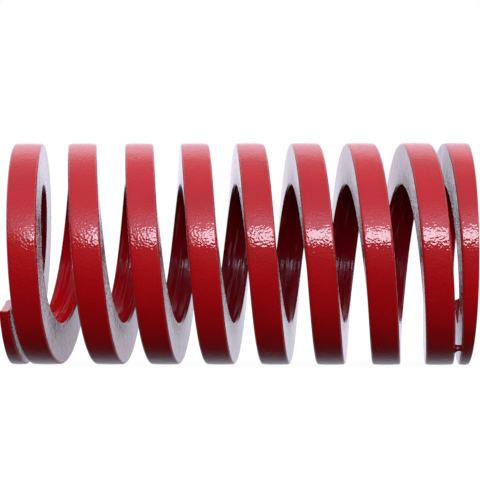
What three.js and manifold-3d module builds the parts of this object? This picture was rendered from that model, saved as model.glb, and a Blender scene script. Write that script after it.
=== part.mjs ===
// Die spring: one flat rectangular wire wound right-hand into a helix, with closed and ground ends.
// The spring lies on its side. Its coil axis runs along X, +Z is up, and the turns rest on z = 0.
// A spring shortens all along its wire, so the wire is cut into quarter turns that slide along X.
import * as THREE from 'three';
import { mergeVertices } from 'three/addons/utils/BufferGeometryUtils.js';
import Module from 'manifold-3d';

// Driving dimensions, in millimetres.
const freeLength = 64;
const outerDiameter = 31.3;
const wireDepth = 6.1;
const wireWidth = 4;
const cornerChamfer = 0.45;
const tipThickness = 1.38;
const cutGap = 0.3;

// Pitches, in millimetres of advance per turn.
const closedPitch = 4.35;
const openingPitch = 9.42;
const activePitch = 7.77;
const closingPitch = 4.47;
const tailPitch = 2.1;

// The winding, in turns counted from the wire's left tip. The pitch eases from each station to the next.
const winding = [
  { turn: 0, pitch: closedPitch },
  { turn: 0.98, pitch: closedPitch },
  { turn: 1.1, pitch: openingPitch },
  { turn: 1.72, pitch: openingPitch },
  { turn: 1.89, pitch: activePitch },
  { turn: 7.61, pitch: activePitch },
  { turn: 8.58, pitch: closingPitch },
  { turn: 9.08, pitch: closingPitch },
  { turn: 9.325, pitch: tailPitch },
];

// Every turn has the same flats, and one flat of each turn faces straight down.
const flatsPerTurn = 40;
const tipFlat = 23.5;
const leftEndFlats = 45;
const quarterFlats = flatsPerTurn / 4;
const activeTurns = 7;
const rightEndFlats = 48;
// The shear drew the tip out by a quarter of a flat.
const tipDragFlats = 0.25;

const paintColor = 0xa60d12;
const paintRoughness = 0.28;
const paintMetalness = 0.0;

const outerRadius = outerDiameter / 2;
const meanRadius = outerRadius - wireDepth / 2;
const flatScale = 1 / Math.cos(Math.PI / flatsPerTurn);
const halfCutFlats = (cutGap / meanRadius / (2 * Math.PI)) * flatsPerTurn / 2;
const quarterNames = ['back_lower', 'back_upper', 'front_upper', 'front_lower'];

const wasm = await Module();
wasm.setup();

// How far the wire has advanced along the axis at a turn count, in millimetres.
// Over one stretch the pitch follows a smoothstep, whose integral is u^3 - u^4 / 2.
function wireAdvance(turn) {
  let advance = 0;
  for (let i = 1; i < winding.length; i += 1) {
    const from = winding[i - 1];
    const to = winding[i];
    const stretch = to.turn - from.turn;
    const u = THREE.MathUtils.clamp((turn - from.turn) / stretch, 0, 1);
    const eased = u ** 3 - u ** 4 / 2;
    advance += stretch * (from.pitch * u + (to.pitch - from.pitch) * eased);
  }
  return advance;
}

// The wire's section: x runs along the coil axis and y runs outward from it.
function wireSection() {
  const halfWidth = wireWidth / 2;
  const halfDepth = wireDepth / 2;
  const section = new THREE.Shape();
  section.moveTo(halfWidth - cornerChamfer, -halfDepth);
  section.lineTo(halfWidth, -halfDepth + cornerChamfer);
  section.lineTo(halfWidth, halfDepth - cornerChamfer);
  section.lineTo(halfWidth - cornerChamfer, halfDepth);
  section.lineTo(-halfWidth + cornerChamfer, halfDepth);
  section.lineTo(-halfWidth, halfDepth - cornerChamfer);
  section.lineTo(-halfWidth, -halfDepth + cornerChamfer);
  section.lineTo(-halfWidth + cornerChamfer, -halfDepth);
  section.closePath();
  return section;
}

// A stretch of wire: a straight bar with one step per flat, bent onto the helix.
function woundWire(firstFlat, flatCount, startCut, endCut) {
  const bar = new THREE.ExtrudeGeometry(wireSection(), {
    depth: flatCount,
    steps: flatCount,
    bevelEnabled: false,
  });
  const position = bar.attributes.position;
  for (let i = 0; i < position.count; i += 1) {
    const step = position.getZ(i);
    const along = step === 0 ? startCut : Math.min(step, flatCount - endCut);
    const flat = firstFlat + along;
    const angle = ((tipFlat + flat) / flatsPerTurn) * 2 * Math.PI;
    const radius = (meanRadius + position.getY(i)) * flatScale;
    const leftFace = tipThickness - wireWidth + wireAdvance(flat / flatsPerTurn);
    const x = leftFace + wireWidth / 2 + position.getX(i) - freeLength / 2;
    position.setXYZ(i, x, radius * Math.cos(angle), outerRadius + radius * Math.sin(angle));
  }
  bar.deleteAttribute('normal');
  bar.deleteAttribute('uv');
  return mergeVertices(bar, 1e-4);
}

function toSolid(geometry) {
  return new wasm.Manifold(new wasm.Mesh({
    numProp: 3,
    vertProperties: new Float32Array(geometry.attributes.position.array),
    triVerts: new Uint32Array(geometry.index.array),
  }));
}

function toGeometry(solid) {
  const mesh = solid.getMesh();
  const geometry = new THREE.BufferGeometry();
  geometry.setAttribute('position', new THREE.BufferAttribute(mesh.vertProperties, 3));
  geometry.setIndex(new THREE.BufferAttribute(mesh.triVerts, 1));
  return geometry;
}

// Grinds one end square to the axis. side is -1 for the left end and +1 for the right end.
function groundEnd(wire, side) {
  const block = new THREE.BoxGeometry(freeLength, 2 * outerDiameter, 2 * outerDiameter);
  block.translate(side * freeLength, 0, outerRadius);
  block.deleteAttribute('normal');
  block.deleteAttribute('uv');
  return toGeometry(toSolid(wire).subtract(toSolid(mergeVertices(block))));
}

const spring = new THREE.Group();

function addPiece(name, geometry) {
  const paint = new THREE.MeshStandardMaterial({
    color: paintColor,
    roughness: paintRoughness,
    metalness: paintMetalness,
  });
  const piece = new THREE.Mesh(geometry, paint);
  piece.name = name;
  spring.add(piece);
}

const activeFlats = activeTurns * flatsPerTurn;
const rightEndFlat = leftEndFlats + activeFlats;

addPiece('left_end_coil', groundEnd(woundWire(0, leftEndFlats, -tipDragFlats, halfCutFlats), -1));
for (let turn = 0; turn < activeTurns; turn += 1) {
  for (let quarter = 0; quarter < 4; quarter += 1) {
    const firstFlat = leftEndFlats + (turn * 4 + quarter) * quarterFlats;
    const wire = woundWire(firstFlat, quarterFlats, halfCutFlats, halfCutFlats);
    addPiece(`coil_${turn + 1}_${quarterNames[quarter]}`, wire);
  }
}
addPiece('right_end_coil', groundEnd(woundWire(rightEndFlat, rightEndFlats, halfCutFlats, 0), 1));

export default spring;
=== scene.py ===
import bpy
import math
import numpy as np
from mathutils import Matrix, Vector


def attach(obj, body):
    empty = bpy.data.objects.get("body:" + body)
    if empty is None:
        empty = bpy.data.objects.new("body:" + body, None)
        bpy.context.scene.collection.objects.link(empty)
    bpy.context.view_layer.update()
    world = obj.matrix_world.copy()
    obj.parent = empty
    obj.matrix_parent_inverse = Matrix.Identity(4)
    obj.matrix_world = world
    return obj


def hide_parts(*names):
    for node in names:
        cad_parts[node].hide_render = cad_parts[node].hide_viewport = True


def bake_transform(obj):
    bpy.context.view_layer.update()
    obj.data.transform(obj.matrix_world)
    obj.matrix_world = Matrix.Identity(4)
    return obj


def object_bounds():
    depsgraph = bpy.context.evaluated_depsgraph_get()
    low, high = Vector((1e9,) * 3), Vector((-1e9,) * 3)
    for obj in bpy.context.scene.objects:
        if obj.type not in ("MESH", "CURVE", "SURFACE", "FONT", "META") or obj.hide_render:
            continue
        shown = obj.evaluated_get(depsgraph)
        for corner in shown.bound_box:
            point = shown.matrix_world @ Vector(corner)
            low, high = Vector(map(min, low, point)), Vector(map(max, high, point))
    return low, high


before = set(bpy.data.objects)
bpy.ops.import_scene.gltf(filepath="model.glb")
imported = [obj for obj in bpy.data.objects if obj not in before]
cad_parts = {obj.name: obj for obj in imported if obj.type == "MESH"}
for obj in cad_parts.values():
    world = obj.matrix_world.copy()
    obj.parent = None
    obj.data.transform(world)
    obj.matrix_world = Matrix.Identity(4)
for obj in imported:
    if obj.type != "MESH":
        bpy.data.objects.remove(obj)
cadLow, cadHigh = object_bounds()
axisHeight = (cadLow.z + cadHigh.z) / 2

mm = 0.001
wire = {
    "freeLength": 64 * mm,
    "outerRadius": 15.65 * mm,
    "depth": 6.1 * mm,              # across the wire, towards the axis
    "width": 4.0 * mm,              # along the axis
    "cornerRadius": 0.36 * mm,
    "groundEdgeRadius": 0.14 * mm,
    "tipThickness": 1.38 * mm,
    "tipAngle": 211.5,              # where the wire starts, in degrees round the axis
    "cutSlant": 11.5,               # how far back the shear leaves the inner corner, in degrees
    "cutSlantFade": 50.0,
    "tipDrag": 2.25,                # how far the shear drew the tip out, in degrees
    "cutEdge": 0.12 * mm,
    "outerCrown": 0.04 * mm,
    "sideHollow": 0.02 * mm,
    "innerCrown": 0.16 * mm,
    "innerRidge": 0.03 * mm,        # drawing lines along the inner face
    "innerRidgeCount": 3,
    "ringsPerTurn": 144,
    "stepsPerSide": (8, 6, 26, 6),  # outer face, left flank, inner face, right flank
    "stepsPerCorner": 6,
    "stepsPerCut": 4,
}
pitches = {
    "closed": 4.35 * mm,
    "opening": 9.42 * mm,
    "active": 7.77 * mm,
    "closing": 4.47 * mm,
    "tail": 2.1 * mm,
}
# the pitch at each place along the wire, in turns from the tip
winding = [
    (0.0, pitches["closed"]), (0.98, pitches["closed"]),
    (1.1, pitches["opening"]), (1.72, pitches["opening"]),
    (1.89, pitches["active"]), (7.61, pitches["active"]),
    (8.58, pitches["closing"]), (9.08, pitches["closing"]),
    (9.325, pitches["tail"]),
]
lastTurn = winding[-1][0]
leftEndTurns = 1.125
activeTurns = 7
quarters = ["back_lower", "back_upper", "front_upper", "front_lower"]
partsPerQuarter = 4
meanRadius = wire["outerRadius"] - wire["depth"] / 2


# short calls for laying out a node tree
class NodeSheet:
    def __init__(self, tree):
        self.tree = tree
        self.column = 0

    def add(self, kind, **values):
        node = self.tree.nodes.new(kind)
        node.location = (self.column * 180, 0)
        self.column += 1
        for key, value in values.items():
            setattr(node, key, value)
        return node

    def plug(self, socket, value):
        if isinstance(value, bpy.types.NodeSocket):
            self.tree.links.new(value, socket)
        elif value is not None:
            socket.default_value = value

    def math(self, operation, a, b=None, c=None, clamp=False):
        node = self.add("ShaderNodeMath", operation=operation, use_clamp=clamp)
        for socket, value in zip(node.inputs, (a, b, c)):
            self.plug(socket, value)
        return node.outputs[0]

    def mapRange(self, value, low, high, toLow=0.0, toHigh=1.0):
        node = self.add("ShaderNodeMapRange", interpolation_type="SMOOTHSTEP")
        for name, entry in (("Value", value), ("From Min", low), ("From Max", high),
                            ("To Min", toLow), ("To Max", toHigh)):
            self.plug(node.inputs[name], entry)
        return node.outputs["Result"]

    def mixColour(self, amount, a, b):
        node = self.add("ShaderNodeMix", data_type="RGBA")
        self.plug(node.inputs[0], amount)
        self.plug(node.inputs[6], a)
        self.plug(node.inputs[7], b)
        return node.outputs[2]

    def noise(self, place, scale, detail=2.0, roughness=0.5):
        node = self.add("ShaderNodeTexNoise")
        self.plug(node.inputs["Vector"], place)
        node.inputs["Scale"].default_value = scale
        node.inputs["Detail"].default_value = detail
        node.inputs["Roughness"].default_value = roughness
        return node.outputs["Fac"]

    def bump(self, height, distance, normal=None):
        node = self.add("ShaderNodeBump")
        node.inputs["Strength"].default_value = 1.0
        node.inputs["Distance"].default_value = distance
        self.plug(node.inputs["Height"], height)
        if normal is not None:
            self.plug(node.inputs["Normal"], normal)
        return node.outputs["Normal"]


paint = {
    "red": (0.53, 0.0026, 0.0052, 1),
    "deepRed": (0.48, 0.0018, 0.0040, 1),
    "driftScale": 170,                       # slow change between the two reds, per metre
    "mottleScale": 1400,
    "unevenness": 0.25,
    "thinRed": (0.39, 0.003, 0.006, 1),      # where it pulls back from the edges
    "thinSpan": (0.42, 0.62),
    "edgeThinning": 0.55,
    "sideShadeRed": (0.22, 0.003, 0.007, 1),      # thin paint between the coils, darkened further as painted shade
    "sideSpan": (0.12, 0.45),                # how far inwards a face looks where it sets in
    "boreRed": (0.21, 0.0016, 0.006, 1),     # barely painted steel inside the coils, darkened further as painted shade
    "boreSpan": (0.52, 0.95),
    "endFaceCover": 0.75,                    # the ground faces are painted more like the outside
    "leftBoreLitRed": (0.64, 0.004, 0.009, 1),  # painted light: a brighter red near the left end, standing in for light that comes in through the gaps there
    "leftBoreLitRise": (-4 * mm, -26 * mm),
    "leftBoreLitStop": (-29 * mm, -27.3 * mm),
    "boreSheenStreak": (0.46, 0.15, 0.19, 1),     # painted reflection: pink streaks along the drawing lines, for light that the lines catch
    "streakScale": 17,
    "streakStretch": 0.07,
    "sheenStreakSpan": (0.58, 0.70),
    "sheenStreakAmount": 0.6,
    "dust": (0.035, 0.005, 0.008, 1),        # dry overspray on the flanks beside the bore
    "dustScale": 2600,
    "dustSpan": (0.50, 0.60),
    "dustAmount": 0.65,
    "dustHeight": 0.06 * mm,
    "dustRoughness": 0.3,
    "waveScale": 620,
    "waveHeight": 0.03 * mm,
    "peelScale": 3400,                       # orange peel, cells per metre
    "grindScale": 4200,                      # grinding lines that show through on the end faces
    "grindStretch": 0.03,
    "grindTurn": math.radians(24),
    "grindHeight": 0.014 * mm,
    "coatIor": 1.5,
}
outsideFinish = {
    "coat": 1.0,
    "coatRoughness": 0.035,
    "specular": 0.12,
    "specularTint": (1, 1, 1, 1),
    "roughness": (0.38, 0.52),
    "leftBoreGloss": 0.0,
    "peelHeight": 0.028 * mm,
    "lineHeight": 0.0,
}
# little paint lands inside, so the wire's drawing lines show through
boreFinish = {
    "coat": 0.0,
    "coatRoughness": 0.1,
    "specular": 0.21,
    "specularTint": (1.0, 0.74, 0.86, 1),
    "roughness": (0.12, 0.22),
    "leftBoreGloss": 0.1,
    "peelHeight": 0.004 * mm,
    "lineHeight": 0.06 * mm,
}


def makePaint(name, finish):
    material = bpy.data.materials.new(name)
    material.use_nodes = True
    sheet = NodeSheet(material.node_tree)
    shader = material.node_tree.nodes["Principled BSDF"]
    place = sheet.add("ShaderNodeTexCoord").outputs["Object"]

    def mark(label):
        return sheet.add("ShaderNodeAttribute", attribute_name=label).outputs["Fac"]

    edge, ground, inwards, nearBore = mark("edge"), mark("ground"), mark("inwards"), mark("nearBore")
    drift = sheet.noise(place, paint["driftScale"], 3.0)
    mottle = sheet.noise(place, paint["mottleScale"], 4.0, 0.6)

    # the inner face: painted light near the left end, and painted reflection streaks along the wire
    alongX = sheet.add("ShaderNodeSeparateXYZ")
    sheet.plug(alongX.inputs[0], place)
    leftBoreLightMask = sheet.math("MULTIPLY", sheet.mapRange(alongX.outputs[0], *paint["leftBoreLitRise"]),
                        sheet.mapRange(alongX.outputs[0], *paint["leftBoreLitStop"]))
    bore = sheet.mixColour(leftBoreLightMask, paint["boreRed"], paint["leftBoreLitRed"])
    along = sheet.add("ShaderNodeMapping")
    sheet.plug(along.inputs["Vector"], sheet.add("ShaderNodeUVMap", uv_map="alongWire").outputs["UV"])
    along.inputs["Scale"].default_value = (paint["streakStretch"], 1, 1)
    drawn = sheet.noise(along.outputs["Vector"], paint["streakScale"], 1.0)
    sheenStreak = sheet.mapRange(drawn, *paint["sheenStreakSpan"])
    sheenStreak = sheet.math("MULTIPLY", sheenStreak, sheet.mapRange(drift, 0.40, 0.62))
    sheenStreak = sheet.math("MULTIPLY", sheenStreak, paint["sheenStreakAmount"])
    bore = sheet.mixColour(sheenStreak, bore, paint["boreSheenStreak"])

    # darker from the outer face over the flanks to the inner face: thinner paint, and painted shade
    # between the coils
    endFace = sheet.math("MULTIPLY_ADD", ground, -paint["endFaceCover"], 1.0)
    thinPaintAndShade = sheet.math("MULTIPLY", inwards, endFace)
    patchy = sheet.math("SUBTRACT", mottle, 0.5)
    mottledThinPaintAndShade = sheet.math("MULTIPLY_ADD", patchy, paint["unevenness"], thinPaintAndShade)
    colour = sheet.mixColour(sheet.mapRange(drift, 0.35, 0.65), paint["red"], paint["deepRed"])
    colour = sheet.mixColour(sheet.mapRange(mottledThinPaintAndShade, *paint["sideSpan"]), colour, paint["sideShadeRed"])
    colour = sheet.mixColour(sheet.mapRange(mottledThinPaintAndShade, *paint["boreSpan"]), colour, bore)
    dust = sheet.noise(place, paint["dustScale"], 1.0)
    unground = sheet.math("SUBTRACT", 1.0, ground)
    dusty = sheet.math("MULTIPLY", nearBore, unground)
    dusty = sheet.math("MULTIPLY", dusty, sheet.mapRange(dust, *paint["dustSpan"]))
    dustCover = sheet.math("MULTIPLY", dusty, paint["dustAmount"])
    colour = sheet.mixColour(dustCover, colour, paint["dust"])
    thin = sheet.math("MULTIPLY", edge, sheet.mapRange(mottle, *paint["thinSpan"]))
    thin = sheet.math("MULTIPLY", thin, paint["edgeThinning"])
    colour = sheet.mixColour(thin, colour, paint["thinRed"])
    sheet.plug(shader.inputs["Base Color"], colour)

    rough = sheet.mapRange(mottle, 0.3, 0.7, *finish["roughness"])
    rough = sheet.math("MULTIPLY_ADD", dusty, paint["dustRoughness"], rough)
    # less rough at the left end of the bore, where its brighter red is painted light
    rough = sheet.math("MULTIPLY_ADD", leftBoreLightMask, -finish["leftBoreGloss"], rough)
    sheet.plug(shader.inputs["Roughness"], rough)

    # slow waves, orange peel, drawing lines, dust and grinding lines, one on the other
    normal = sheet.bump(sheet.noise(place, paint["waveScale"], 1.0), paint["waveHeight"])
    normal = sheet.bump(sheet.noise(place, paint["peelScale"], 0.0), finish["peelHeight"], normal)
    if finish["lineHeight"]:
        normal = sheet.bump(drawn, finish["lineHeight"], normal)
    normal = sheet.bump(sheet.math("MULTIPLY", dust, nearBore), paint["dustHeight"], normal)
    grind = sheet.add("ShaderNodeMapping")
    sheet.plug(grind.inputs["Vector"], place)
    grind.inputs["Rotation"].default_value = (paint["grindTurn"], 0, 0)
    grind.inputs["Scale"].default_value = (1, 1, paint["grindStretch"])
    lines = sheet.noise(grind.outputs["Vector"], paint["grindScale"], 2.0)
    normal = sheet.bump(sheet.math("MULTIPLY", lines, ground), paint["grindHeight"], normal)
    sheet.plug(shader.inputs["Normal"], normal)
    sheet.plug(shader.inputs["Coat Normal"], normal)

    shader.inputs["Coat Weight"].default_value = finish["coat"]
    shader.inputs["Coat Roughness"].default_value = finish["coatRoughness"]
    shader.inputs["Coat IOR"].default_value = paint["coatIor"]
    shader.inputs["Specular IOR Level"].default_value = finish["specular"]
    shader.inputs["Specular Tint"].default_value = finish["specularTint"]
    return material


glossRedPaint = makePaint("glossRedPaint", outsideFinish)
thinBorePaint = makePaint("thinBorePaint", boreFinish)
print("paint mixed")


# The outline of the straight bar that the tree winds. Each point has its corner (u, v), its way out,
# its swell, whether it is on an edge, and how far it faces inwards.
def sectionPoints():
    points = []
    corners = [(1, 1, 0), (0, 1, 90), (0, -1, 180), (1, -1, 270)]
    cornerSteps = wire["stepsPerCorner"]
    for index, (u, v, firstAngle) in enumerate(corners):
        rim = -wire["outerCrown"] if v > 0 else wire["innerCrown"]
        for step in range(cornerSteps + 1):
            angle = math.radians(firstAngle + 90 * step / cornerSteps)
            wayX, wayR = math.cos(angle), math.sin(angle)
            points.append((u, v, wayX, wayR, 0.0, rim, 1.0, (1 - wayR) / 2))
        nextU, nextV = corners[(index + 1) % 4][:2]
        nextRim = -wire["outerCrown"] if nextV > 0 else wire["innerCrown"]
        outward = math.radians(firstAngle + 90)
        steps = wire["stepsPerSide"][index]
        for step in range(1, steps):
            t = step / steps
            bow = 1 - (2 * t - 1) ** 2
            swellX, swellR = 0.0, rim + (nextRim - rim) * t
            if index == 0:
                swellR = wire["outerCrown"] * (bow - 1)
            elif index == 2:
                wave = (0.5 - 0.5 * math.cos(2 * math.pi * wire["innerRidgeCount"] * t)) ** 3
                swellR = wire["innerCrown"] * (1 - bow) - wire["innerRidge"] * wave * bow
            else:
                swellX = (-1 if u else 1) * wire["sideHollow"] * bow
            wayX, wayR = math.cos(outward), math.sin(outward)
            points.append((u + (nextU - u) * t, v + (nextV - v) * t, wayX, wayR,
                           swellX, swellR, 0.0, (1 - wayR) / 2))
    return np.array(points)


section = sectionPoints()
sectionCount = len(section)


# turn and inset of every ring; the rings at both shears round their edges
def ringPlaces():
    edgeTurns = wire["cutEdge"] / (2 * math.pi * meanRadius)
    edgeSteps = wire["stepsPerCut"]
    turns, insets = [], []
    for step in range(edgeSteps):
        angle = math.pi / 2 * (1 - step / edgeSteps)
        turns.append(edgeTurns * (1 - math.sin(angle)))
        insets.append(wire["cutEdge"] * (1 - math.cos(angle)))
    leftRings = round(leftEndTurns * wire["ringsPerTurn"])
    left = np.linspace(edgeTurns, leftEndTurns, leftRings + 1)
    active = leftEndTurns + np.arange(1, activeTurns * wire["ringsPerTurn"] + 1) / wire["ringsPerTurn"]
    rightSpan = lastTurn - leftEndTurns - activeTurns
    rightRings = round(rightSpan * wire["ringsPerTurn"])
    right = np.linspace(leftEndTurns + activeTurns, lastTurn - edgeTurns, rightRings + 1)[1:]
    turns += list(left) + list(active) + list(right)
    insets += [0.0] * (len(left) + len(active) + len(right))
    for step in range(edgeSteps - 1, -1, -1):
        angle = math.pi / 2 * (1 - step / edgeSteps)
        turns.append(lastTurn - edgeTurns * (1 - math.sin(angle)))
        insets.append(wire["cutEdge"] * (1 - math.cos(angle)))
    return np.array(turns), np.array(insets), edgeSteps + leftRings


ringTurns, ringInsets, leftEndRing = ringPlaces()
ringCount = len(ringTurns)


# where the inward darkening (thinner paint and painted shade) is lifted, and where the dust lies
paintAndShadeReach = {
    "cuts": 0.1,                # the shears are painted nearly like the outside
    "endFlanks": 0.85,          # and so are the outward flanks of both end coils
    "endFlankTurns": 1.05,
    "endFlankFade": 0.15,
    "dustStart": 0.62,          # how far in on the flanks the dust begins, and where it is full
    "dustFull": 0.95,
}


# the bar before it is wound: a grid of points that carry what the tree and the paint need
def straightBar():
    turn = np.repeat(ringTurns, sectionCount)
    inset = np.repeat(ringInsets, sectionCount)
    columns = np.tile(section, (ringCount, 1))
    # the shears are slanted: the inner side of the wire starts later and ends earlier
    slant, fade = wire["cutSlant"] / 360, wire["cutSlantFade"] / 360
    columns[inset > 0, 7] = paintAndShadeReach["cuts"]
    endTurns, fadeTurns = paintAndShadeReach["endFlankTurns"], paintAndShadeReach["endFlankFade"]
    openLeft = np.clip((endTurns - turn) / fadeTurns, 0, 1) * (columns[:, 0] == 0)
    openRight = np.clip((turn - lastTurn + endTurns) / fadeTurns, 0, 1) * (columns[:, 0] == 1)
    flank = 1 - np.abs(columns[:, 3])
    columns[:, 7] *= 1 - paintAndShadeReach["endFlanks"] * flank * (openLeft + openRight)
    inner = (1 - columns[:, 1]) / 2
    dustBand = paintAndShadeReach["dustFull"] - paintAndShadeReach["dustStart"]
    nearBore = np.clip((inner - paintAndShadeReach["dustStart"]) / dustBand, 0, 1) * np.abs(columns[:, 2])
    nearTip = np.clip(1 - turn / fade, 0, 1) ** 1.5
    nearTail = np.clip(1 - (lastTurn - turn) / fade, 0, 1) ** 1.5
    bentTurn = turn + slant * inner * (nearTip - nearTail) - wire["tipDrag"] / 360 * nearTip
    x = bentTurn * 2 * math.pi * meanRadius
    y = (columns[:, 0] - 0.5) * wire["width"]
    z = columns[:, 1] * wire["depth"] / 2
    mesh = bpy.data.meshes.new("straightBar")
    grid = np.arange(ringCount * sectionCount).reshape(ringCount, sectionCount)
    across = np.roll(grid, -1, axis=1)
    faces = np.stack([grid[:-1], across[:-1], across[1:], grid[1:]], axis=-1).reshape(-1, 4)
    mesh.from_pydata(np.stack([x, y, z], axis=-1), [], faces.tolist())
    values = {"turn": bentTurn, "inset": inset, "nearBore": nearBore}
    for index, name in enumerate(("u", "v", "wayX", "wayR", "swellX", "swellR", "edge", "inwards")):
        values[name] = columns[:, index]
    for name, numbers in values.items():
        layer = mesh.attributes.new(name, "FLOAT", "POINT")
        layer.data.foreach_set("value", numbers.astype(np.float32))
    return mesh


# sizes that the winding tree takes in
sizeInputs = [
    ("Wire depth", wire["depth"]),
    ("Wire width", wire["width"]),
    ("Corner radius", wire["cornerRadius"]),
    ("Ground edge radius", wire["groundEdgeRadius"]),
    ("Mean radius", meanRadius),
    ("Axis height", axisHeight),
    ("Free length", wire["freeLength"]),
    ("Tip thickness", wire["tipThickness"]),
    ("Tip angle", wire["tipAngle"] / 360),
]
for number, (stationTurn, stationPitch) in enumerate(winding):
    sizeInputs += [(f"Turn {number}", stationTurn), (f"Pitch {number}", stationPitch)]


# winds the straight bar and grinds both ends
def windingTree():
    tree = bpy.data.node_groups.new("windSpring", "GeometryNodeTree")
    tree.interface.new_socket("Bar", in_out="INPUT", socket_type="NodeSocketGeometry")
    for name, value in sizeInputs:
        socket = tree.interface.new_socket(name, in_out="INPUT", socket_type="NodeSocketFloat")
        socket.default_value = value
    for name in ("Paint", "Bore paint"):
        tree.interface.new_socket(name, in_out="INPUT", socket_type="NodeSocketMaterial")
    tree.interface.new_socket("Spring", in_out="OUTPUT", socket_type="NodeSocketGeometry")
    sheet = NodeSheet(tree)
    given = sheet.add("NodeGroupInput").outputs
    calc = sheet.math

    def attribute(name):
        node = sheet.add("GeometryNodeInputNamedAttribute", data_type="FLOAT")
        node.inputs["Name"].default_value = name
        return node.outputs["Attribute"]

    def lerp(amount, a, b):
        return calc("MULTIPLY_ADD", amount, calc("SUBTRACT", b, a), a)

    turn, u, v = attribute("turn"), attribute("u"), attribute("v")
    wayX, wayR, inset = attribute("wayX"), attribute("wayR"), attribute("inset")
    # how far the wire has run along the axis: each stretch eases from one pitch to the next
    advance = None
    for number in range(len(winding) - 1):
        start, stop = given[f"Turn {number}"], given[f"Turn {number + 1}"]
        pitch, nextPitch = given[f"Pitch {number}"], given[f"Pitch {number + 1}"]
        stretch = calc("SUBTRACT", stop, start)
        part = calc("DIVIDE", calc("SUBTRACT", turn, start), stretch, clamp=True)
        cube = calc("POWER", part, 3.0)
        ease = calc("MULTIPLY_ADD", calc("MULTIPLY", cube, part), -0.5, cube)
        steady = calc("MULTIPLY", pitch, part)
        run = calc("MULTIPLY_ADD", calc("SUBTRACT", nextPitch, pitch), ease, steady)
        run = calc("MULTIPLY", run, stretch)
        advance = run if advance is None else calc("ADD", advance, run)
    half = calc("MULTIPLY", given["Free length"], 0.5)
    leftFace = calc("SUBTRACT", calc("ADD", advance, given["Tip thickness"]),
                    calc("ADD", given["Wire width"], half))
    rightFace = calc("ADD", leftFace, given["Wire width"])
    leftPlane = calc("MULTIPLY", half, -1.0)
    leftGround = calc("DIVIDE", calc("SUBTRACT", leftPlane, leftFace), given["Corner radius"], clamp=True)
    rightGround = calc("DIVIDE", calc("SUBTRACT", rightFace, half), given["Corner radius"], clamp=True)
    leftRadius = lerp(leftGround, given["Corner radius"], given["Ground edge radius"])
    rightRadius = lerp(rightGround, given["Corner radius"], given["Ground edge radius"])
    cornerRadius = lerp(u, leftRadius, rightRadius)
    left = calc("ADD", calc("MAXIMUM", leftFace, leftPlane), leftRadius)
    right = calc("SUBTRACT", calc("MINIMUM", rightFace, half), rightRadius)
    reach = calc("SUBTRACT", cornerRadius, inset)
    whole = calc("SUBTRACT", 1.0, lerp(u, leftGround, rightGround))
    alongX = calc("MULTIPLY_ADD", wayX, reach, lerp(u, left, right))
    alongX = calc("MULTIPLY_ADD", attribute("swellX"), whole, alongX)
    halfDepth = calc("SUBTRACT", calc("MULTIPLY", given["Wire depth"], 0.5), cornerRadius)
    outward = calc("MULTIPLY_ADD", v, halfDepth, calc("MULTIPLY", wayR, reach))
    radius = calc("ADD", given["Mean radius"], calc("ADD", outward, attribute("swellR")))
    angle = calc("MULTIPLY", calc("ADD", turn, given["Tip angle"]), 2 * math.pi)
    place = sheet.add("ShaderNodeCombineXYZ")
    sheet.plug(place.inputs["X"], alongX)
    sheet.plug(place.inputs["Y"], calc("MULTIPLY", radius, calc("COSINE", angle)))
    sheet.plug(place.inputs["Z"], calc("MULTIPLY_ADD", radius, calc("SINE", angle), given["Axis height"]))
    wind = sheet.add("GeometryNodeSetPosition")
    sheet.plug(wind.inputs["Geometry"], given["Bar"])
    sheet.plug(wind.inputs["Position"], place.outputs["Vector"])
    # where the wheel has cut, for the paint
    onLeft = calc("MULTIPLY", calc("MULTIPLY", wayX, -1.0, clamp=True), leftGround)
    onRight = calc("MULTIPLY", calc("MAXIMUM", wayX, 0.0), rightGround)
    mark = sheet.add("GeometryNodeStoreNamedAttribute", data_type="FLOAT", domain="POINT")
    mark.inputs["Name"].default_value = "ground"
    sheet.plug(mark.inputs["Geometry"], wind.outputs["Geometry"])
    sheet.plug(mark.inputs["Value"], calc("ADD", onLeft, onRight, clamp=True))
    real = sheet.add("GeometryNodeRealizeInstances")
    sheet.plug(real.inputs["Geometry"], mark.outputs["Geometry"])
    coat = sheet.add("GeometryNodeSetMaterial")
    sheet.plug(coat.inputs["Geometry"], real.outputs["Geometry"])
    sheet.plug(coat.inputs["Material"], given["Paint"])
    bore = sheet.add("GeometryNodeSetMaterial")
    sheet.plug(bore.inputs["Geometry"], coat.outputs["Geometry"])
    sheet.plug(bore.inputs["Selection"], calc("GREATER_THAN", attribute("inwards"), 0.9))
    sheet.plug(bore.inputs["Material"], given["Bore paint"])
    sheet.plug(sheet.add("NodeGroupOutput").inputs["Spring"], bore.outputs["Geometry"])
    return tree


# runs the tree on the bar and keeps the mesh that comes out
def woundMesh():
    holder = bpy.data.objects.new("straightBar", straightBar())
    bpy.context.scene.collection.objects.link(holder)
    modifier = holder.modifiers.new("wind", "NODES")
    modifier.node_group = windingTree()
    sockets = {item.name: item.identifier for item in modifier.node_group.interface.items_tree
               if item.in_out == "INPUT"}
    for name, value in sizeInputs:
        modifier[sockets[name]] = value
    modifier[sockets["Paint"]] = glossRedPaint
    modifier[sockets["Bore paint"]] = thinBorePaint
    depsgraph = bpy.context.evaluated_depsgraph_get()
    result = bpy.data.meshes.new_from_object(holder.evaluated_get(depsgraph))
    holder.modifiers.clear()
    bpy.data.objects.remove(holder)
    return result


wound = woundMesh()


def pointValues(mesh, name):
    values = np.empty(len(mesh.vertices), np.float32)
    mesh.attributes[name].data.foreach_get("value", values)
    return values.reshape(ringCount, sectionCount)


places = np.empty(len(wound.vertices) * 3, np.float32)
wound.vertices.foreach_get("co", places)
places = places.reshape(ringCount, sectionCount, 3).astype(float)
marks = {name: pointValues(wound, name) for name in ("edge", "ground", "inwards", "nearBore")}
facePaint = np.empty(len(wound.polygons), np.int32)
wound.polygons.foreach_get("material_index", facePaint)
facePaint = facePaint.reshape(ringCount - 1, sectionCount)
print("paints on the wire:", [material.name for material in wound.materials])
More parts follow.
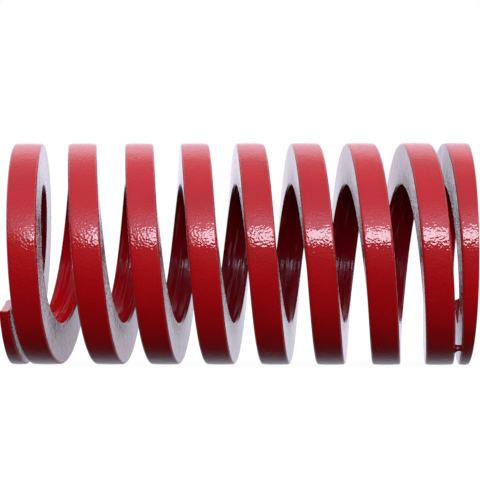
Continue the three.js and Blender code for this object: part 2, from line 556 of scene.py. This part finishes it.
# normals of the whole wire, so that the pieces meet without a seam
alongWire = np.gradient(places, axis=0)
aroundWire = np.roll(places, -1, axis=1) - np.roll(places, 1, axis=1)
normals = np.cross(aroundWire, alongWire)
normals /= np.linalg.norm(normals, axis=2, keepdims=True)
runLength = ringTurns * 2 * math.pi * meanRadius
openRing = places[leftEndRing]
outline = np.linalg.norm(np.diff(openRing, axis=0, append=openRing[:1]), axis=1)
aroundLength = np.concatenate([[0], np.cumsum(outline)])
print("wire wound:", ringCount, "rings of", sectionCount)


# one stretch of the wound wire, closed at both ends
def wirePiece(name, firstRing, lastRing):
    count = lastRing - firstRing + 1
    grid = np.arange(count * sectionCount).reshape(count, sectionCount)
    across = np.roll(grid, -1, axis=1)
    sides = np.stack([grid[:-1], across[:-1], across[1:], grid[1:]], axis=-1).reshape(-1, 4)
    mesh = bpy.data.meshes.new(name)
    points = places[firstRing:lastRing + 1].reshape(-1, 3)
    caps = [grid[0][::-1].tolist(), grid[-1].tolist()]
    mesh.from_pydata(points, [], sides.tolist() + caps)
    for mark, values in marks.items():
        layer = mesh.attributes.new(mark, "FLOAT", "POINT")
        layer.data.foreach_set("value", values[firstRing:lastRing + 1].ravel())
    # the map runs along the wire and round it, in centimetres
    uvLayer = mesh.uv_layers.new(name="alongWire")
    run = np.repeat(runLength[firstRing:lastRing + 1], sectionCount)
    around = np.tile(aroundLength[:-1], count)
    uv = np.stack([run[sides], around[sides]], axis=-1)
    uv[:, 1:3, 1] = np.where(around[sides[:, 1:3]] == 0, aroundLength[-1], uv[:, 1:3, 1])
    capUv = []
    for cap, ring in ((caps[0], firstRing), (caps[1], lastRing)):
        for index in cap:
            u, v = section[index % sectionCount][:2]
            capUv.append((runLength[ring] + u * wire["width"], v * wire["depth"]))
    flatUv = np.concatenate([uv.reshape(-1, 2), np.array(capUv)]) * 100
    uvLayer.data.foreach_set("uv", flatUv.astype(np.float32).ravel())
    for material in wound.materials:
        mesh.materials.append(material)
    mesh.polygons.foreach_set("material_index", list(facePaint[firstRing:lastRing].ravel()) + [0, 0])
    mesh.polygons.foreach_set("use_smooth", [True] * len(mesh.polygons))
    mesh.update()
    pieceNormals = normals[firstRing:lastRing + 1].reshape(-1, 3)
    loopNormals = [pieceNormals[sides].reshape(-1, 3)]
    for polygon in list(mesh.polygons)[-2:]:
        loopNormals.append(np.tile(np.array(polygon.normal), (sectionCount, 1)))
    mesh.normals_split_custom_set(np.concatenate(loopNormals))
    piece = bpy.data.objects.new(name, mesh)
    bpy.context.scene.collection.objects.link(piece)
    return piece


# bakes the piece's place into its mesh
def stretchWith(piece):
    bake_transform(piece)


leftCoil = wirePiece("left_end_wire", 0, leftEndRing)
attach(leftCoil, "fixed_end")
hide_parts("left_end_coil")

ringsPerPart = wire["ringsPerTurn"] // 4 // partsPerQuarter
ring = leftEndRing
for order in range(activeTurns * 4):
    segment = f"coil_{order // 4 + 1}_{quarters[order % 4]}"
    for part in range(partsPerQuarter):
        piece = wirePiece(f"{segment}_wire_{part + 1}", ring, ring + ringsPerPart)
        # the last piece meets the right end wire, which hangs from the moving end
        stretchWith(piece)
        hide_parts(segment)
        ring += ringsPerPart

rightCoil = wirePiece("right_end_wire", ring, ringCount - 1)
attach(rightCoil, "moving_end")
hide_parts("right_end_coil")

bead = {
    "turn": 0.0736 + 8,           # on the last open coil; it hangs on to the closed coil after it
    "waist": 0.42 * mm,
    "foot": 0.62 * mm,
    "sunk": 0.08 * mm,
    "belowSurface": 0.5 * mm,
    "sag": 0.10 * mm,
    "rings": 15,
    "points": 28,
}


# a drop of paint that has dried between the last two coils
def makeBead():
    nearRing = int(np.argmin(np.abs(ringTurns - bead["turn"])))
    farRing = int(np.argmin(np.abs(ringTurns - bead["turn"] - 1)))
    rightFace = int(np.argmax(section[:, 2] + (section[:, 1] > 0)))
    leftFace = int(np.argmax(-section[:, 2] + (section[:, 1] > 0)))
    start, end = places[nearRing, rightFace], places[farRing, leftFace]
    angle = 2 * math.pi * (bead["turn"] + wire["tipAngle"] / 360)
    outward = np.array([0, math.cos(angle), math.sin(angle)])
    tangent = np.array([0, -math.sin(angle), math.cos(angle)])
    middle = outward * (wire["outerRadius"] - bead["belowSurface"]) + [0, 0, axisHeight]
    firstX, lastX = start[0] - bead["sunk"], end[0] + bead["sunk"]
    points, count = [], bead["points"]
    for step in range(bead["rings"] + 1):
        t = step / bead["rings"]
        radius = bead["waist"] + (bead["foot"] - bead["waist"]) * abs(2 * t - 1) ** 2.2
        sag = -bead["sag"] * (1 - (2 * t - 1) ** 2)
        for index in range(count):
            turned = 2 * math.pi * index / count
            lump = 1 + 0.10 * math.sin(2 * turned + 1.3 + 2 * t) + 0.05 * math.sin(3 * turned + 5 * t)
            x = firstX + (lastX - firstX) * t
            out = math.cos(turned) * radius * lump
            aside = math.sin(turned) * radius * 1.15 * lump + sag
            points.append(middle + outward * out + tangent * aside + [x, 0, 0])
    grid = np.arange(len(points)).reshape(-1, count)
    across = np.roll(grid, -1, axis=1)
    faces = np.stack([grid[:-1], across[:-1], across[1:], grid[1:]], axis=-1).reshape(-1, 4).tolist()
    faces += [grid[0][::-1].tolist(), grid[-1].tolist()]
    mesh = bpy.data.meshes.new("paint_bead")
    mesh.from_pydata([tuple(point) for point in points], [], faces)
    mesh.materials.append(glossRedPaint)
    mesh.polygons.foreach_set("use_smooth", [True] * len(mesh.polygons))
    # the drop takes the dark colour of the inner face: painted shade for the gap it hangs in
    layer = mesh.attributes.new("inwards", "FLOAT", "POINT")
    layer.data.foreach_set("value", np.full(len(points), 1.0, np.float32))
    mesh.update()
    drop = bpy.data.objects.new("paint_bead", mesh)
    bpy.context.scene.collection.objects.link(drop)
    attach(drop, "moving_end")


makeBead()
print("spring made:", activeTurns * 4 * partsPerQuarter + 2, "pieces")

camera = {
    "distance": 0.2435,
    "x": 5 * mm,
    "aimX": 0.04 * mm,
    "rise": 1.95 * mm,
    "fieldOfView": 15.87,
}
floor = {
    "halfSize": 3.0,
    "greys": ((0.10, 0.10, 0.10, 1), (0.11, 0.11, 0.11, 1)),
    "glow": 0.95,
}
sky = {
    "frontTint": (0.90, 0.80, 1.04, 1),
    "backTint": (0.93, 0.90, 1.05, 1),
    "dark": 0.015,
    "frontHigh": 0.78,
    "haloLeft": 0.2,            # the bright band over the front is weaker at the left
    "haloRight": 0.9,
    "haloFoot": 0.9,
    "backRise": (0.5, 0.65),    # below the horizon, then on top of that above it
    "overhead": 0.4,
}
softboxes = [
    {"name": "frontSoftbox", "place": (0.08, -0.59, 0.215), "size": (0.26, 0.135), "radiance": 13.5,
     "tint": (0.80, 0.93, 1.06)},
    {"name": "edgeSoftbox", "place": (-0.074, -0.59, 0.215), "size": (0.048, 0.135), "radiance": 4.2,
     "tint": (0.80, 0.93, 1.06)},
    {"name": "sideSoftbox", "place": (0.42, -0.52, 0.10), "size": (0.2, 0.2), "radiance": 2.0,
     "tint": (1.0, 0.95, 0.97)},
]


def makeFloor():
    size = floor["halfSize"]
    mesh = bpy.data.meshes.new("studioFloor")
    corners = [(-size, -size, 0), (size, -size, 0), (size, size, 0), (-size, size, 0)]
    mesh.from_pydata(corners, [], [(0, 1, 2, 3)])
    ground = bpy.data.objects.new("studioFloor", mesh)
    bpy.context.scene.collection.objects.link(ground)
    material = bpy.data.materials.new("paleFloor")
    material.use_nodes = True
    sheet = NodeSheet(material.node_tree)
    shader = material.node_tree.nodes["Principled BSDF"]
    place = sheet.add("ShaderNodeTexCoord").outputs["Object"]
    grain = sheet.mapRange(sheet.noise(place, 40, 3.0), 0.3, 0.7)
    sheet.plug(shader.inputs["Base Color"], sheet.mixColour(grain, *floor["greys"]))
    shader.inputs["Roughness"].default_value = 0.9
    shader.inputs["Specular IOR Level"].default_value = 0.0
    shader.inputs["Emission Color"].default_value = (1, 1, 1, 1)
    shader.inputs["Emission Strength"].default_value = floor["glow"]
    mesh.materials.append(material)
    ground.visible_glossy = False
    ground.visible_diffuse = False


# a pale sky that is graded by height, at the front and at the back, and plain white behind the spring
def makeWorld():
    world = bpy.data.worlds.new("studioWorld")
    bpy.context.scene.world = world
    world.use_nodes = True
    sheet = NodeSheet(world.node_tree)
    background = world.node_tree.nodes["Background"]
    ways = sheet.add("ShaderNodeSeparateXYZ")
    sheet.plug(ways.inputs[0], sheet.add("ShaderNodeTexCoord").outputs["Generated"])
    x, y, z = ways.outputs
    front = sheet.mapRange(z, 0.16, 0.45, sky["dark"], sky["frontHigh"])
    halo = sheet.math("MULTIPLY", sheet.mapRange(z, 0.25, 0.42), sheet.mapRange(z, 0.85, 0.5))
    foot = sheet.math("MULTIPLY", halo, sheet.mapRange(z, 0.74, 0.5))
    halo = sheet.math("MULTIPLY_ADD", foot, sky["haloFoot"], halo)
    across = sheet.mapRange(x, -0.35, 0.05, sky["haloLeft"], sky["haloRight"])
    front = sheet.math("MULTIPLY_ADD", halo, across, front)
    lowBack = sheet.mapRange(z, -0.95, -0.45, sky["dark"], sky["backRise"][0])
    highBack = sheet.mapRange(z, -0.35, 0.1, 0.0, sky["backRise"][1])
    back = sheet.math("ADD", lowBack, highBack)
    overhead = sheet.math("MULTIPLY", sheet.mapRange(z, 0.45, 0.75), sheet.mapRange(z, 0.97, 0.82))
    back = sheet.math("MULTIPLY_ADD", overhead, sky["overhead"], back)
    back = sheet.math("MULTIPLY", back, sheet.mapRange(z, 0.75, 1.0, 1.0, 0.72))
    side = sheet.mapRange(y, -0.4, 0.4)
    level = sheet.math("MULTIPLY_ADD", side, sheet.math("SUBTRACT", back, front), front)
    tint = sheet.mixColour(side, sky["frontTint"], sky["backTint"])
    seen = sheet.add("ShaderNodeLightPath").outputs["Is Camera Ray"]
    sheet.plug(background.inputs["Color"], sheet.mixColour(seen, tint, (1, 1, 1, 1)))
    sheet.plug(background.inputs["Strength"],
               sheet.math("MULTIPLY_ADD", seen, sheet.math("SUBTRACT", 1.0, level), level))


def makeSoftbox(box):
    width, height = box["size"]
    light = bpy.data.lights.new(box["name"], "AREA")
    light.shape = "RECTANGLE"
    light.size, light.size_y = width, height
    light.energy = box["radiance"] * math.pi * width * height
    light.color = box["tint"]
    lamp = bpy.data.objects.new(box["name"], light)
    bpy.context.scene.collection.objects.link(lamp)
    lamp.location = box["place"]
    aim = Vector((0, 0, axisHeight)) - Vector(box["place"])
    lamp.rotation_euler = aim.to_track_quat("-Z", "Y").to_euler()


def makeCamera():
    lens = bpy.data.cameras.new("camera")
    lens.sensor_width = 36
    lens.lens = 18 / math.tan(math.radians(camera["fieldOfView"] / 2))
    lens.clip_start = 0.01
    viewer = bpy.data.objects.new("camera", lens)
    bpy.context.scene.collection.objects.link(viewer)
    viewer.location = (camera["x"], -camera["distance"], axisHeight + camera["rise"])
    turnToAim = math.atan2(camera["x"] - camera["aimX"], camera["distance"])
    viewer.rotation_euler = (math.radians(90), 0, turnToAim)
    bpy.context.scene.camera = viewer


makeFloor()
makeWorld()
for box in softboxes:
    makeSoftbox(box)
makeCamera()
bpy.context.scene.view_settings.view_transform = "Standard"
print("studio set")
